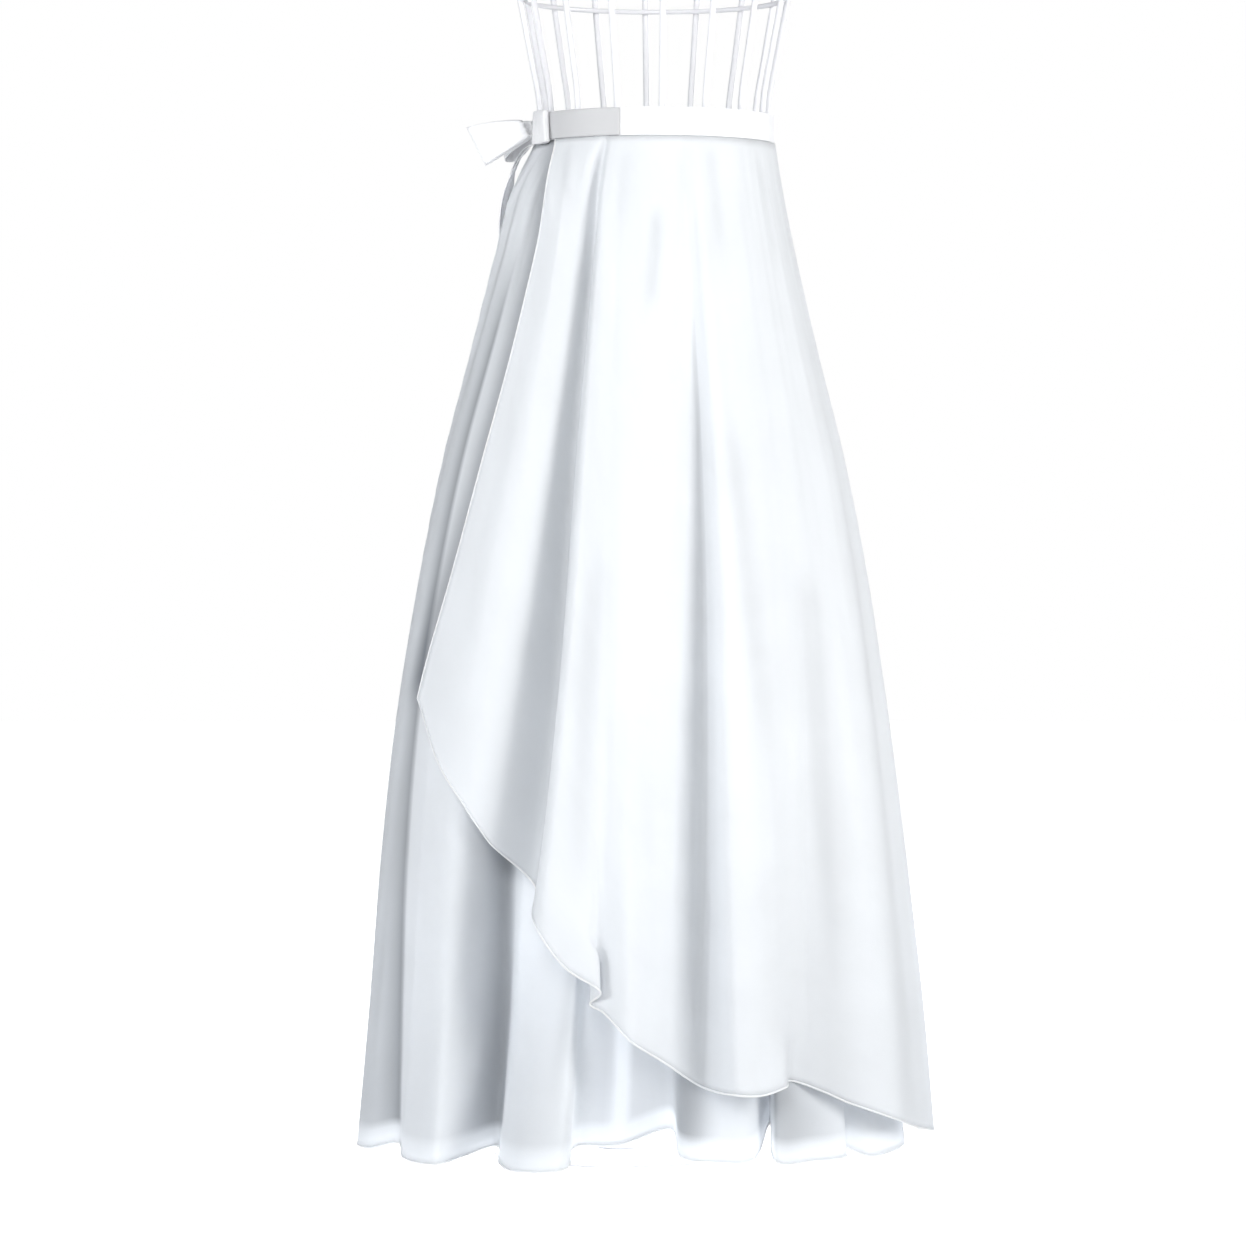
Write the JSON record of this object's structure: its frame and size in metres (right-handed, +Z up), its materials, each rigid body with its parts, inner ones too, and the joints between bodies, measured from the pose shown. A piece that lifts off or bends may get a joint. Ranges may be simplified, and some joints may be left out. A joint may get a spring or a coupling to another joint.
{
  "type": "wrap ballet skirt on a wire dress form",
  "caption": "Floor-length wrap ballet skirt in sheer cloth, tied with a bow at one hip, on a limbless wire dress form with a pole and a round base.",
  "frame": {"origin": "centre of the base's underside, below the pole", "axes": "+Z up; the front faces -Y; the bow is on the -X side, and the body's axis stands 35 mm to the +X side of the pole"},
  "size_m": [0.5747, 0.5506, 1.5136],
  "materials": {
    "chiffon": "sheer matt crepe",
    "ribbon": "satin",
    "enamel": "white powder coat"
  },
  "bodies": {
    "root": {"under_front": "chiffon", "back_panel": "chiffon", "over_front": "chiffon", "waistband": "ribbon", "tie_front": "ribbon", "bow_knot": "ribbon", "bow_loop_left": "ribbon", "bow_loop_back": "ribbon", "tie_tail_side": "ribbon", "tie_tail_back": "ribbon", "form_wire_01": "enamel", "form_wire_02": "enamel", "form_wire_03": "enamel", "form_wire_04": "enamel", "form_wire_05": "enamel", "form_wire_06": "enamel", "form_wire_07": "enamel", "form_wire_08": "enamel", "form_wire_09": "enamel", "form_wire_10": "enamel", "form_wire_11": "enamel", "form_wire_12": "enamel", "form_wire_13": "enamel", "form_wire_14": "enamel", "form_wire_15": "enamel", "form_wire_16": "enamel", "form_ring_hip": "enamel", "form_ring_rib": "enamel", "form_ring_chest": "enamel", "form_neck_cap": "enamel", "form_arm_side": "enamel", "form_arm_front": "enamel", "form_hub": "enamel", "form_pole": "enamel", "form_foot_collar": "enamel", "form_base": "enamel"}
  },
  "joints": []
}
